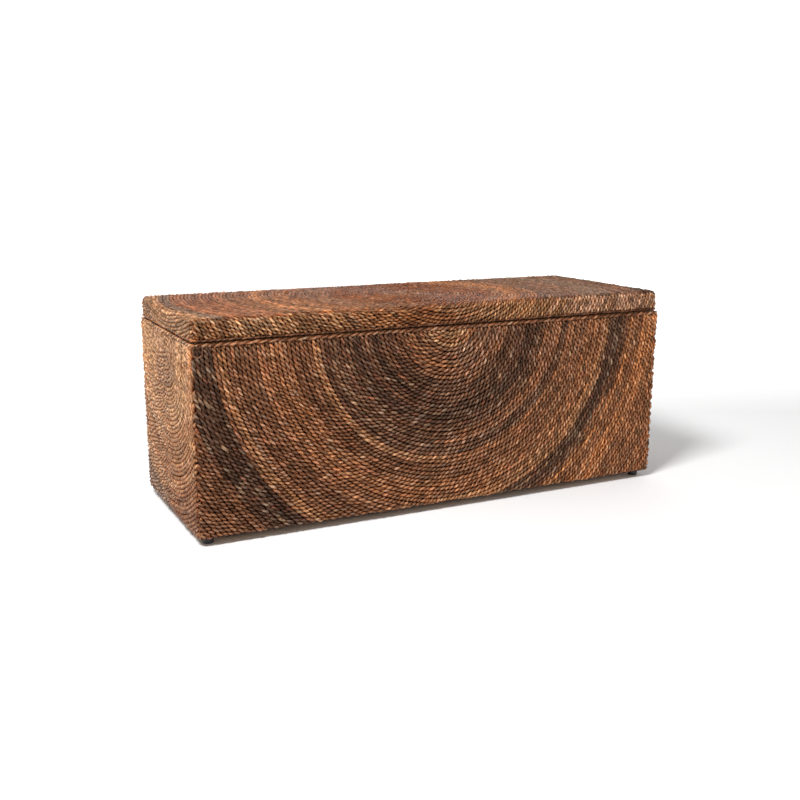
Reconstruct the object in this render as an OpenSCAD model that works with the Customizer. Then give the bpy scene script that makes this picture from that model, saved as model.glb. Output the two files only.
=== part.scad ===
// Rope-woven storage trunk with a lift-up lid.
// The front faces -Y, the length runs along X, and the floor is Z = 0 under the trunk's middle.
// A timber frame carries plywood walls. Twisted rope is laid over the walls row by row, and over the lid.

/* [Trunk] */
// Overall length
trunk_l = 1193.8; // [1000:0.1:1400]
// Overall depth, from the front weave to the hinge barrels
trunk_d = 444.5; // [400:0.1:520]
// Overall height
trunk_h = 482.6; // [440:0.1:560]
// Thickness of the woven rope skin
rope_t = 9.5; // [8:0.5:12]
// Radius of the woven skin's outer corners
corner_r = 7; // [4:1:9]

/* [Lid] */
// Height of the lid, from the seam to its top
lid_h = 45.2; // [40:0.2:60]
// Open seam between lid and base
seam_h = 6.8; // [6.8:0.1:8]
// How far each lid end stands back from the base
lid_end_inset = 4; // [1:0.5:8]
// How far the lid front stands back from the base
lid_front_inset = 2.5; // [1:0.5:6]
// Rounding of the lid's top edges
lid_edge_r = 16; // [10:1:18]
// Width of the long lid rails
lid_rail_w = 24; // [20:1:30]
// Width of the end lid rails and the middle rail
lid_end_rail_w = 30; // [28:1:36]
// Thickness of the board that closes the lid underneath
lining_t = 3; // [2:0.5:6]

/* [Frame] */
// Thickness of the plywood walls, floor and lid board
board_t = 9; // [6:1:12]
// Side of the square rails and corner posts
rail_w = 22; // [18:1:24]

/* [Glides] */
// Glide diameter
glide_d = 24; // [20:1:26]
// Glide height
glide_h = 16; // [12:1:20]
// Glide centre from the trunk's end
glide_inset_x = 30; // [29:1:32]
// Glide centre from the trunk's front or back
glide_inset_y = 33; // [31:1:36]

/* [Hinges] */
// Number of barrel knuckles on each hinge
knuckles = 5; // [3:2:7]
// Length of one knuckle
knuckle_l = 14; // [10:1:18]
// Outer radius of the barrel
barrel_r = 3; // [2.8:0.1:3]
// Radius of the hinge pin
hinge_pin_r = 1.5; // [1.2:0.1:1.6]
// Thickness of a hinge leaf
leaf_t = 1.5; // [1.2:0.1:1.6]
// Each hinge's centre from the trunk's middle
hinge_x = 400; // [300:10:450]

/* [Lid stays] */
// Distance of the base pivot in front of the hinge axis
stay_base_y = 53; // [50:1:60]
// Distance of the base pivot below the hinge axis
stay_base_z = 130; // [110:1:140]
// Distance of the lid pivot in front of the hinge axis
stay_lid_y = 140; // [120:1:150]
// Distance of the lid pivot below the hinge axis
stay_lid_z = 9; // [8:1:12]
// Diameter of the round eyes at a stay arm's ends
arm_eye_d = 16; // [14:1:18]
// Width of a stay arm between its eyes
arm_w = 12; // [10:1:13]
// Thickness of a stay arm
arm_t = 2.5; // [2:0.5:2.5]
// Radius of the stay rivets
rivet_r = 3; // [2.5:0.5:3]

/* [Hidden] */
$fn = 48;
LEFT = -1;
RIGHT = 1;
FRONT = -1;
BACK = 1;
DOWN = -1;
UP = 1;

// How far a cutting shape runs past the face it opens
past = 1;

// Colours
rope_brown = [0.45, 0.27, 0.15];
rope_tan = [0.62, 0.43, 0.24];
rope_dark = [0.29, 0.19, 0.13];
timber = [0.76, 0.60, 0.42];
plywood = [0.70, 0.54, 0.37];
lining_brown = [0.30, 0.21, 0.15];
zinc = [0.70, 0.70, 0.68];
black = [0.05, 0.05, 0.05];

// Heights
seam_z = trunk_h - lid_h;
base_z = seam_z - seam_h;
rim_z = base_z - rope_t;
floor_z = glide_h + rail_w;
floor_top_z = floor_z + board_t;
top_rail_z = base_z - rail_w;
lid_board_z = trunk_h - rope_t - board_t;

// The weave's outer planes. The hinge barrels stand at the very back, so the back weave is set in.
axis_y = trunk_d / 2 - barrel_r;
axis_z = seam_z - seam_h / 2;
barrel_overhang = 1.2;
outer_x = trunk_l / 2;
outer_front = -trunk_d / 2;
outer_back = axis_y + barrel_overhang;
board_x = outer_x - rope_t;
board_front = outer_front + rope_t;
board_back = outer_back - rope_t;
frame_x = board_x - board_t;
frame_front = board_front + board_t;
frame_back = board_back - board_t;
post_x = frame_x - rail_w;

// The lid's outer planes
lid_x = outer_x - lid_end_inset;
lid_front = outer_front + lid_front_inset;
lid_frame_x = lid_x - rope_t;
lid_frame_front = lid_front + rope_t;
lid_inner_x = lid_frame_x - lid_end_rail_w;
lid_inner_front = lid_frame_front + lid_rail_w;
lid_inner_back = board_back - lid_rail_w;
middle_rail_w = lid_end_rail_w;
lid_corner_foot = 1;
lid_corner_fn = 32;

// Clearances: turning parts side by side, a pin in a turning hole, the stays' open pivot
side_gap = 0.3;
pin_gap = 0.05;
open_gap = 0.3;
stop_gap = 0.1;

// Hinges
hinge_l = knuckles * knuckle_l;
leaf_reach = 34;
barrel_clear = 0.6;
leaf_end_y = axis_y - barrel_r - barrel_clear;
tab_overlap = 1;
hinge_screw_inset = 10;
hinge_screw_xs = [-hinge_l / 2 + hinge_screw_inset, 0, hinge_l / 2 - hinge_screw_inset];
hinge_screw_reach = 24;
hinge_screw_y = axis_y - hinge_screw_reach;
screw_r = 1.75;
screw_head_r = 3.4;
screw_head_t = 1.2;
hinge_screw_l = 14;

// Lid stays, in layers from the posts inward
plate_x = post_x - arm_t;
arm_x = plate_x - side_gap - arm_t;
upper_arm_x = arm_x - side_gap - arm_t;
base_pivot = [axis_y - stay_base_y, axis_z - stay_base_z];
lid_pivot = [axis_y - stay_lid_y, axis_z - stay_lid_z];
elbow = lid_pivot - [stay_base_y, stay_base_z];
rivet_head_r = 6;
rivet_head_t = 1.4;
bracket_h = 40;
bracket_reach = 10;
bracket_wall_gap = 1;
base_screw_y = frame_back - rail_w / 2;
base_screw_dz = 12;
stay_screw_l = 12;
flange_t = 2;
lid_bracket_w = 30;
lid_bracket_in = 24;
lid_screw_dy = 9;
lid_screw_in = 8;
lid_screw_x = lid_inner_x + lid_screw_in;
lid_bracket_lip = 2;

// Glides and bumpers
glide_chamfer = 2;
nail_r = 2;
nail_into_glide = 8;
nail_into_rail = 14;
bumper_r = 7;
bumper_x = 500;
bumper_xs = [-bumper_x, bumper_x];
bumper_h = seam_h - stop_gap;

// Corner cuts in the floor board clear the posts
post_cut_gap = 0.5;

module block(x0, x1, y0, y1, z0, z1) {
  translate([x0, y0, z0]) cube([x1 - x0, y1 - y0, z1 - z0]);
}

// A block between two distances from the middle, on the left or right side
module side_block(side, x0, x1, y0, y1, z0, z1) {
  block(side > 0 ? x0 : -x1, side > 0 ? x1 : -x0, y0, y1, z0, z1);
}

// A rod along X between two distances from the middle, on the left or right side
module side_rod(side, x0, x1, centre, r) {
  translate([side > 0 ? x0 : -x1, centre[0], centre[1]])
    rotate([0, 90, 0]) cylinder(r = r, h = x1 - x0);
}

// A rectangle with rounded corners, made of true arcs
module round_rect(x0, x1, y0, y1, r) {
  translate([x0 + r, y0]) square([x1 - x0 - 2 * r, y1 - y0]);
  translate([x0, y0 + r]) square([x1 - x0, y1 - y0 - 2 * r]);
  for (x = [x0 + r, x1 - r], y = [y0 + r, y1 - r]) translate([x, y]) circle(r = r);
}

// The trunk's outer outline in plan
module outline() {
  round_rect(-outer_x, outer_x, outer_front, outer_back, corner_r);
}

// ---- Timber frame ----

module corner_post(side, face) {
  y0 = face < 0 ? frame_front : frame_back - rail_w;
  color(timber) side_block(side, post_x, frame_x, y0, y0 + rail_w, floor_z, top_rail_z);
}

module bottom_rail_long(face) {
  y0 = face < 0 ? frame_front : frame_back - rail_w;
  color(timber) difference() {
    block(-frame_x, frame_x, y0, y0 + rail_w, glide_h, floor_z);
    nail_shafts();
  }
}

module bottom_rail_end(side) {
  color(timber) side_block(side, post_x, frame_x, frame_front + rail_w, frame_back - rail_w,
                           glide_h, floor_z);
}

module top_rail_long(face) {
  y0 = face < 0 ? frame_front : frame_back - rail_w;
  color(timber) difference() {
    block(-frame_x, frame_x, y0, y0 + rail_w, top_rail_z, base_z);
    hinge_screw_shafts(LEFT, base_z, DOWN);
    hinge_screw_shafts(RIGHT, base_z, DOWN);
  }
}

module top_rail_end(side) {
  color(timber) side_block(side, post_x, frame_x, frame_front + rail_w, frame_back - rail_w,
                           top_rail_z, base_z);
}

// ---- Plywood ----

module wall_board_long(face) {
  y0 = face < 0 ? board_front : frame_back;
  color(plywood) block(-board_x, board_x, y0, y0 + board_t, glide_h, base_z);
}

module wall_board_end(side) {
  color(plywood) side_block(side, frame_x, board_x, frame_front, frame_back, glide_h, base_z);
}

module floor_board() {
  color(plywood) difference() {
    block(-frame_x, frame_x, frame_front, frame_back, floor_z, floor_top_z);
    for (side = [LEFT, RIGHT], y0 = [frame_front, frame_back - rail_w])
      side_block(side, post_x - post_cut_gap, frame_x + past,
                 y0 - (y0 == frame_front ? past : post_cut_gap),
                 y0 + rail_w + (y0 == frame_front ? post_cut_gap : past),
                 floor_z - past, floor_top_z + past);
  }
}

// ---- Woven skins of the base ----

module weave_long(face) {
  y0 = face < 0 ? outer_front : board_back;
  color(face < 0 ? rope_brown : rope_dark)
    translate([0, 0, glide_h]) linear_extrude(height = rim_z - glide_h)
      intersection() {
        outline();
        translate([-outer_x, y0]) square([2 * outer_x, rope_t]);
      }
}

module weave_end(side) {
  color(rope_tan) side_block(side, board_x, outer_x, board_front, board_back, glide_h, rim_z);
}

module rim_rope() {
  color(rope_dark) translate([0, 0, rim_z]) linear_extrude(height = base_z - rim_z)
    difference() {
      outline();
      translate([-board_x, board_front]) square([2 * board_x, board_back - board_front]);
    }
}

// ---- Glides ----

module glide_at(side, face) {
  y = face < 0 ? outer_front + glide_inset_y : outer_back - glide_inset_y;
  translate([side * (outer_x - glide_inset_x), y, 0]) children();
}

module nail_shafts() {
  for (side = [LEFT, RIGHT], face = [FRONT, BACK])
    glide_at(side, face) translate([0, 0, glide_h - nail_into_glide])
      cylinder(r = nail_r, h = nail_into_glide + nail_into_rail);
}

module glide(side, face) {
  r = glide_d / 2;
  color(black) difference() {
    glide_at(side, face)
      rotate_extrude() polygon([[0, 0], [r - glide_chamfer, 0], [r, glide_chamfer],
                                [r, glide_h], [0, glide_h]]);
    nail_shafts();
  }
}

module glide_nails() {
  color(zinc) nail_shafts();
}

// ---- Hinges ----

// Knuckles whose number has this parity, around the hinge axis, with tabs that reach the leaf
module hinge_knuckles(parity, z0) {
  for (i = [0 : knuckles - 1]) if (i % 2 == parity) {
    x0 = -hinge_l / 2 + i * knuckle_l + (i == 0 ? 0 : side_gap / 2);
    x1 = -hinge_l / 2 + (i + 1) * knuckle_l - (i == knuckles - 1 ? 0 : side_gap / 2);
    translate([x0, axis_y, axis_z]) rotate([0, 90, 0]) cylinder(r = barrel_r, h = x1 - x0);
    block(x0, x1, leaf_end_y - tab_overlap, axis_y, z0, z0 + leaf_t);
  }
}

module hinge_screw_shafts(side, z, way) {
  for (x = hinge_screw_xs)
    translate([side * hinge_x + x, hinge_screw_y, way == DOWN ? z - hinge_screw_l : z])
      cylinder(r = screw_r, h = hinge_screw_l);
}

// Countersunk heads, wide at z and narrow on the far side of the leaf
module hinge_screw_heads(side, z, way) {
  for (x = hinge_screw_xs)
    translate([side * hinge_x + x, hinge_screw_y, way == DOWN ? z - leaf_t : z])
      cylinder(r1 = way == DOWN ? screw_r : screw_head_r,
               r2 = way == DOWN ? screw_head_r : screw_r, h = leaf_t);
}

module hinge_leaf(side, parity, z0, bore_r, way) {
  color(zinc) difference() {
    translate([side * hinge_x, 0, 0]) {
      block(-hinge_l / 2, hinge_l / 2, axis_y - leaf_reach, leaf_end_y, z0, z0 + leaf_t);
      hinge_knuckles(parity, z0);
    }
    translate([side * hinge_x - hinge_l, axis_y, axis_z])
      rotate([0, 90, 0]) cylinder(r = bore_r, h = 2 * hinge_l);
    hinge_screw_heads(side, way == DOWN ? z0 + leaf_t : z0, way);
  }
}

module hinge_base_leaf(side) {
  hinge_leaf(side, 0, base_z, hinge_pin_r, DOWN);
}

module hinge_lid_leaf(side) {
  hinge_leaf(side, 1, seam_z - leaf_t, hinge_pin_r + pin_gap, UP);
}

module hinge_pin(side) {
  color(zinc) translate([side * hinge_x - hinge_l / 2, axis_y, axis_z])
    rotate([0, 90, 0]) cylinder(r = hinge_pin_r, h = hinge_l);
}

module hinge_base_screws() {
  color(zinc) for (side = [LEFT, RIGHT]) {
    hinge_screw_heads(side, base_z + leaf_t, DOWN);
    hinge_screw_shafts(side, base_z, DOWN);
  }
}

module hinge_lid_screws() {
  color(zinc) for (side = [LEFT, RIGHT]) {
    hinge_screw_heads(side, seam_z - leaf_t, UP);
    hinge_screw_shafts(side, seam_z, UP);
  }
}

// ---- Lid stays ----

// A flat arm with a round eye at each pivot, with a hole of its own size in each
module stay_arm(side, x0, from, to, from_r, to_r) {
  run = to - from;
  color(zinc) difference() {
    union() {
      side_rod(side, x0, x0 + arm_t, from, arm_eye_d / 2);
      side_rod(side, x0, x0 + arm_t, to, arm_eye_d / 2);
      translate([side > 0 ? x0 : -x0 - arm_t, from[0], from[1]])
        rotate([atan2(run[1], run[0]), 0, 0])
          translate([0, 0, -arm_w / 2]) cube([arm_t, norm(run), arm_w]);
    }
    side_rod(side, x0 - past, x0 + arm_t + past, from, from_r);
    side_rod(side, x0 - past, x0 + arm_t + past, to, to_r);
  }
}

module stay_lower_arm(side) {
  stay_arm(side, arm_x, base_pivot, elbow, rivet_r + pin_gap, rivet_r);
}

module stay_upper_arm(side) {
  stay_arm(side, upper_arm_x, elbow, lid_pivot, rivet_r + pin_gap, rivet_r + open_gap);
}

// A rivet from x0 to x1, with a head outside each end that asks for one
module rivet(side, x0, x1, centre, inner_head, outer_head) {
  color(zinc) {
    side_rod(side, x0, x1, centre, rivet_r);
    if (inner_head) side_rod(side, x0 - rivet_head_t, x0, centre, rivet_head_r);
    if (outer_head) side_rod(side, x1, x1 + rivet_head_t, centre, rivet_head_r);
  }
}

module base_screw_holes(side) {
  for (dz = [-base_screw_dz, base_screw_dz])
    side_rod(side, plate_x - past, post_x + stay_screw_l, [base_screw_y, base_pivot[1] + dz],
             screw_r);
}

module stay_base_bracket(side) {
  color(zinc) difference() {
    side_block(side, plate_x, post_x, base_pivot[0] - bracket_reach,
               frame_back - bracket_wall_gap,
               base_pivot[1] - bracket_h / 2, base_pivot[1] + bracket_h / 2);
    side_rod(side, plate_x - past, post_x + past, base_pivot, rivet_r);
    base_screw_holes(side);
  }
}

module stay_base_rivets() {
  for (side = [LEFT, RIGHT]) rivet(side, arm_x - side_gap, post_x, base_pivot, true, false);
}

module stay_base_screws() {
  color(zinc) for (side = [LEFT, RIGHT], dz = [-base_screw_dz, base_screw_dz]) {
    side_rod(side, plate_x, post_x + stay_screw_l, [base_screw_y, base_pivot[1] + dz], screw_r);
    side_rod(side, plate_x - screw_head_t, plate_x, [base_screw_y, base_pivot[1] + dz],
             screw_head_r);
  }
}

module post_with_screw_holes(side) {
  difference() {
    corner_post(side, BACK);
    base_screw_holes(side);
  }
}

module lid_screw_shafts(side) {
  for (dy = [-lid_screw_dy, lid_screw_dy])
    translate([side * lid_screw_x, lid_pivot[0] + dy, seam_z - flange_t])
      cylinder(r = screw_r, h = flange_t + stay_screw_l);
}

module stay_lid_bracket(side) {
  y0 = lid_pivot[0] - lid_bracket_w / 2;
  y1 = lid_pivot[0] + lid_bracket_w / 2;
  color(zinc) difference() {
    union() {
      side_block(side, arm_x, arm_x + arm_t, y0, y1,
                 lid_pivot[1] - rivet_head_r - lid_bracket_lip, seam_z);
      side_block(side, arm_x, arm_x + lid_bracket_in, y0, y1, seam_z - flange_t, seam_z);
    }
    side_rod(side, arm_x - past, arm_x + arm_t + past, lid_pivot, rivet_r);
    lid_screw_shafts(side);
  }
}

module stay_lid_rivets() {
  for (side = [LEFT, RIGHT])
    rivet(side, upper_arm_x - side_gap, arm_x + arm_t, lid_pivot, true, true);
}

module stay_lid_screws() {
  color(zinc) for (side = [LEFT, RIGHT]) {
    lid_screw_shafts(side);
    for (dy = [-lid_screw_dy, lid_screw_dy])
      translate([side * lid_screw_x, lid_pivot[0] + dy, seam_z - flange_t - screw_head_t])
        cylinder(r = screw_head_r, h = screw_head_t);
  }
}

module stay_elbow_rivet(side) {
  rivet(side, upper_arm_x - side_gap, arm_x + arm_t, elbow, true, true);
}

module lid_bumpers() {
  color(black) for (x = bumper_xs)
    translate([x, frame_front + rail_w / 2, base_z]) cylinder(r = bumper_r, h = bumper_h);
}

// ---- Lid ----

module lid_rail_front() {
  color(timber) block(-lid_frame_x, lid_frame_x, lid_frame_front, lid_inner_front,
                      seam_z, lid_board_z);
}

module lid_rail_back() {
  color(timber) difference() {
    block(-lid_frame_x, lid_frame_x, lid_inner_back, board_back, seam_z, lid_board_z);
    hinge_screw_shafts(LEFT, seam_z, UP);
    hinge_screw_shafts(RIGHT, seam_z, UP);
  }
}

module lid_rail_end(side) {
  color(timber) difference() {
    side_block(side, lid_inner_x, lid_frame_x, lid_inner_front, lid_inner_back,
               seam_z, lid_board_z);
    lid_screw_shafts(side);
  }
}

module lid_rail_middle() {
  color(timber) block(-middle_rail_w / 2, middle_rail_w / 2, lid_inner_front, lid_inner_back,
                      seam_z + lining_t, lid_board_z);
}

module lid_board() {
  color(plywood) block(-lid_frame_x, lid_frame_x, lid_frame_front, board_back,
                       lid_board_z, lid_board_z + board_t);
}

module lid_lining() {
  color(lining_brown) block(-lid_inner_x, lid_inner_x, lid_inner_front, lid_inner_back,
                            seam_z, seam_z + lining_t);
}

// One quarter-round corner of the lid's outer shape
module lid_corner() {
  r = lid_edge_r;
  translate([0, 0, trunk_h - r]) sphere(r = r, $fn = lid_corner_fn);
  translate([0, 0, seam_z]) cylinder(r = r, h = lid_corner_foot, $fn = lid_corner_fn);
}

module lid_weave() {
  r = lid_edge_r;
  color(rope_brown) difference() {
    hull() for (x = [-lid_x + r, lid_x - r], y = [lid_front + r, outer_back - r])
      translate([x, y, 0]) lid_corner();
    block(-lid_frame_x, lid_frame_x, lid_frame_front, board_back, seam_z - past,
          trunk_h - rope_t);
  }
}

corner_post(LEFT, FRONT);  // corner_post_front_left
corner_post(RIGHT, FRONT);  // corner_post_front_right
post_with_screw_holes(LEFT);  // corner_post_back_left
post_with_screw_holes(RIGHT);  // corner_post_back_right
bottom_rail_long(FRONT);  // bottom_rail_front
bottom_rail_long(BACK);  // bottom_rail_back
bottom_rail_end(LEFT);  // bottom_rail_left
bottom_rail_end(RIGHT);  // bottom_rail_right
top_rail_long(FRONT);  // top_rail_front
top_rail_long(BACK);  // top_rail_back
top_rail_end(LEFT);  // top_rail_left
top_rail_end(RIGHT);  // top_rail_right
wall_board_long(FRONT);  // wall_board_front
wall_board_long(BACK);  // wall_board_back
wall_board_end(LEFT);  // wall_board_left
wall_board_end(RIGHT);  // wall_board_right
floor_board();
weave_long(FRONT);  // weave_front
weave_long(BACK);  // weave_back
weave_end(LEFT);  // weave_left
weave_end(RIGHT);  // weave_right
rim_rope();
glide(LEFT, FRONT);  // glide_front_left
glide(RIGHT, FRONT);  // glide_front_right
glide(LEFT, BACK);  // glide_back_left
glide(RIGHT, BACK);  // glide_back_right
glide_nails();
hinge_base_leaf(LEFT);  // hinge_base_leaf_left
hinge_base_leaf(RIGHT);  // hinge_base_leaf_right
hinge_pin(LEFT);  // hinge_pin_left
hinge_pin(RIGHT);  // hinge_pin_right
hinge_base_screws();
stay_base_bracket(LEFT);  // stay_base_bracket_left
stay_base_bracket(RIGHT);  // stay_base_bracket_right
stay_base_rivets();
stay_base_screws();
lid_bumpers();
lid_rail_front();
lid_rail_back();
lid_rail_end(LEFT);  // lid_rail_left
lid_rail_end(RIGHT);  // lid_rail_right
lid_rail_middle();
lid_board();
lid_lining();
lid_weave();
hinge_lid_leaf(LEFT);  // hinge_lid_leaf_left
hinge_lid_leaf(RIGHT);  // hinge_lid_leaf_right
hinge_lid_screws();
stay_lid_bracket(LEFT);  // stay_lid_bracket_left
stay_lid_bracket(RIGHT);  // stay_lid_bracket_right
stay_lid_rivets();
stay_lid_screws();
stay_lower_arm(LEFT);  // stay_lower_arm_left
stay_lower_arm(RIGHT);  // stay_lower_arm_right
stay_upper_arm(LEFT);  // stay_upper_arm_left
stay_upper_arm(RIGHT);  // stay_upper_arm_right
stay_elbow_rivet(LEFT);  // stay_elbow_rivet_left
stay_elbow_rivet(RIGHT);  // stay_elbow_rivet_right
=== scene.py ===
"""Looks of the rope-woven storage trunk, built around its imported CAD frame.

Every woven face is a coil of two-strand rope. One spiral is laid over each face, cut at the face's
edges, bent round the rounded corners and tucked in at its ends. Units are metres.
"""

import math

import bmesh
import bpy
import numpy as np
from mathutils import Matrix, Vector


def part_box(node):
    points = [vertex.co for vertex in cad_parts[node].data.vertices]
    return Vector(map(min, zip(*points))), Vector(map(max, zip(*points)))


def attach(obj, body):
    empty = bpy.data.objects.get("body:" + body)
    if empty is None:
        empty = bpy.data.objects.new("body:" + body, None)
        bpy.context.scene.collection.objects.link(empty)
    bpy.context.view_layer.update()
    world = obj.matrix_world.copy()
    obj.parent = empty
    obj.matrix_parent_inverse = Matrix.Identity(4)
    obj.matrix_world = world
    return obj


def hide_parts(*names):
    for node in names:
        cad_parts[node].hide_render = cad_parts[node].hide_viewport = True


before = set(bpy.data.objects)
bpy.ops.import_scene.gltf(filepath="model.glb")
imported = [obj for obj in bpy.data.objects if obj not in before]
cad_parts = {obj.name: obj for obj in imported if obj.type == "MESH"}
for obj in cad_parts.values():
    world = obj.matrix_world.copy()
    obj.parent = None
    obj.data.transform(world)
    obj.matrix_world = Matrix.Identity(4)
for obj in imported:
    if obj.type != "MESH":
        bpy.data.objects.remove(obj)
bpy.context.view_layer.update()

# ---------------------------------------------------------------- rope measures

ROPE_R = 0.00475  # outer radius of a laid rope
ROW_PITCH = 0.0093  # distance between neighbouring rows
STRAND_R = 0.0032  # radius of one of the two strands
STRAND_OUT = 0.0018  # how far a strand's middle swings outward, squeezed flat against the board
STRAND_ASIDE = 0.0023  # how far it swings sideways
TWIST_PITCH = 0.025  # length of one full turn of the strands
RING_STEP = 0.003  # length of one mesh step along a rope
STRAND_SIDES = 6
TUCK_LENGTH = 0.009  # last stretch of a rope, which bends into the face and thins out
TUCK_DEPTH = 0.006
TUCK_THIN = 0.6
SHORTEST_RUN = 0.006
SIDE_WANDER = 0.05  # a row wanders sideways over this length, and in and out over the next
LIFT_WANDER = 0.035
ROPE_SWELL = (0.08, 0.03)  # how much a rope's thickness changes, and over what length
TURN_RANGE = (0.86, 1.2)  # how far a rope's twist may differ from the usual one
TWIST_DRIFT = (0.24, 0.09)  # slow and quick changes of the twist along it, as share and length
TWIST_JITTER = (0.16, 0.03)
STRAND_RANGE = (0.9, 1.1)  # how unlike the two strands are in thickness
STRAND_SWELL = (0.12, 0.02)
STRAND_BASE = 0.91
GRAIN_SWELL = 0.13  # a strand is thickest where it comes to the surface
GRAIN_SPREAD = 0.30  # how much the grains differ in lightness
END_GRAIN_SPREAD = 0.20
ROW_SPREAD = 0.08  # how much whole rows differ
LID_ROW_SPREAD = 0.16
LIGHTEST_GRAIN = 1.2  # the palest grains stop at this many spreads
BARE_STREAK = (0.50, 0.39, 0.31)  # thin streaks along a strand, from its dark inner fibre
WORN_STREAK = (1.46, 1.60, 1.76)  # to its worn, paler outer one
YARN_GRAINS = (2, 8)  # a spun yarn keeps its colour for this many grains
YARN_SHARE = 0.4  # and this is its share in each grain's colour
FIBRE_SHARE = (0.1, 0.5)  # how much of a grain an odd fibre fills
RED_SHARE = 0.07  # share of grains with reddish fibre in them
LONG_SPREAD = (0.14, 0.09)  # slow changes of lightness along a strand, as share and length
FIBRE_GRAIN = (60, 900, 900)  # noise per metre along and across a strand: single fibres,
PATCH_GRAIN = (90, 160, 160)  # stains over whole grains,
STREAK_GRAIN = (150, 400, 400)  # and streaks a few fibres wide

CREVICE_DEPTH = 0.25  # how far below the rope's middle line the painted shade is darkest, in rope radii
CREVICE_PAINTED_SHADE = (0.50, 0.23, 0.08)  # painted shade deep down between the ropes, a dark red-brown
CREVICE_FADE = 1.1
CREST_WEAR_AND_HIGHLIGHT = (1.26, 1.44, 1.70)  # the paler crests: partly wear, partly a painted highlight
CREST_FROM = 0.66  # where the paler crest with its painted highlight begins, from 0 down in the crevice to 1 on top

RIM_STRAND_R = 0.0028  # the trim rope round the base's rim
RIM_SWING = (0.0020, 0.0020)
RIM_TWIST = 0.036
RIM_ROUND = 0.004
RIM_LIFT = 0.0006
LID_TRIM_R = 0.0030  # the trim rope round the lid's lower edge
LID_TRIM_SLACK = 0.0005
LID_TRIM_DROP = 0.0014
LID_STRAND_R = LID_TRIM_R * 0.62
LID_SWING = (LID_TRIM_R * 0.4, LID_TRIM_R * 0.4)
LID_TWIST = 0.024
TRIM_WOBBLE = 0.0003
KNOT_TWIST = 0.016
KNOT_STEP = 0.0015

BASE_ROUND = 0.0045  # rounding of the rope's middle line round the base's edges
LID_ROUND = 0.0115  # the same round the lid's edges
UNDER_FLAP = 0.008  # how far the rows run on under the base
UNDER_RIM = 0.006  # how far they run up behind the rim's rope
UNDER_LID_TRIM = 0.002  # how far the lid's rows run down behind its trim
LID_WIDER = 0.0025  # the lid's rope bulges out at its two ends, level with the base
MAX_PIECE_TRIS = 190000
BAND_BLUR = (0.06, 0.08)  # how far the two halves of a face mix, and over what length of a row
BAND_FUZZ = (0.0025, 0.12)  # how far a colour band's edge wanders across the rows, and how fast

# ---------------------------------------------------------------- where things are

front_lo, front_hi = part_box("weave_front")
back_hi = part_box("weave_back")[1]
rim_lo, rim_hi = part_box("rim_rope")
lid_lo, lid_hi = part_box("lid_weave")
OUT_X = front_hi.x
OUT_FRONT = front_lo.y
OUT_BACK = back_hi.y
WEAVE_Z = front_lo.z
RIM_Z = rim_lo.z

# ---------------------------------------------------------------- colours (linear)


def linear(r, g, b):
    """A linear colour from its sRGB numbers, 0 to 255."""
    out = []
    for c in (r, g, b):
        v = c / 255
        out.append(v / 12.92 if v <= 0.04045 else ((v + 0.055) / 1.055) ** 2.4)
    return tuple(out)


# Each tone: its main colour, the share of pale fibre in it, and the share of dark fibre.
TONES = {
    "ink": (linear(64, 42, 29), 0.16, 0.20),
    "soot": (linear(74, 49, 35), 0.18, 0.16),
    "umber": (linear(98, 65, 45), 0.14, 0.16),
    "bark": (linear(117, 76, 50), 0.10, 0.14),
    "brown": (linear(130, 85, 56), 0.10, 0.12),
    "ash": (linear(124, 86, 62), 0.12, 0.12),
    "rust": (linear(125, 70, 36), 0.08, 0.14),
    "copper": (linear(142, 92, 58), 0.10, 0.08),
    "amber": (linear(164, 106, 64), 0.10, 0.06),
    "honey": (linear(157, 108, 70), 0.10, 0.06),
    "gold": (linear(170, 124, 84), 0.12, 0.06),
    "sand": (linear(184, 143, 112), 0.10, 0.12),
    "straw": (linear(186, 143, 103), 0.06, 0.10),
    "fawn": (linear(158, 115, 80), 0.12, 0.09),
    "grey": (linear(126, 96, 74), 0.12, 0.14),
    "russet": (linear(142, 88, 56), 0.08, 0.14),
}
PALE_FIBRE = linear(188, 152, 117)
DARK_FIBRE = linear(72, 50, 38)
RED_FIBRE = linear(152, 86, 60)
FIBRE_SHEEN = (1.0, 0.70, 0.46)

# Bands of colour on each face, as (radius where the band ends, mix). Left and right differ.
FRONT_LEFT = [(0.074, "gold"), (0.098, "bark"), (0.112, "copper"), (0.144, "bark"),
              (0.180, "umber"), (0.200, "soot"), (0.222, "umber"), (0.250, "soot"),
              (0.323, "umber"), (0.342, "honey"), (0.380, "bark"), (0.440, "copper"),
              (0.450, "brown"), (0.462, "copper"), (0.502, "bark"), (0.528, "brown"),
              (0.541, "honey"), (0.552, "bark"), (0.618, "soot"), (0.780, "bark")]
FRONT_RIGHT = [(0.052, "gold"), (0.070, "copper"), (0.140, "ash"), (0.162, "bark"),
               (0.202, "umber"), (0.240, "soot"), (0.265, "umber"), (0.300, "brown"),
               (0.324, "umber"), (0.344, "copper"), (0.380, "brown"), (0.425, "copper"),
               (0.450, "honey"), (0.458, "umber"), (0.480, "soot"), (0.497, "umber"),
               (0.508, "copper"), (0.520, "amber"), (0.545, "copper"), (0.590, "amber"),
               (0.780, "copper")]
BACK_LEFT = [(0.110, "copper"), (0.180, "bark"), (0.280, "copper"), (0.330, "soot"),
             (0.420, "brown"), (0.470, "amber"), (0.540, "umber"), (0.700, "copper")]
BACK_RIGHT = [(0.110, "copper"), (0.200, "umber"), (0.280, "brown"), (0.330, "soot"),
              (0.430, "copper"), (0.470, "bark"), (0.580, "ink"), (0.700, "brown")]
END_BACKWARD = [(0.100, "fawn"), (0.250, "gold"), (0.310, "honey"), (0.350, "gold"),
                (0.370, "fawn"), (0.600, "grey")]
END_FORWARD = [(0.100, "fawn"), (0.190, "gold"), (0.250, "honey"), (0.330, "honey"),
               (0.370, "copper"), (0.600, "brown")]
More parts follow.
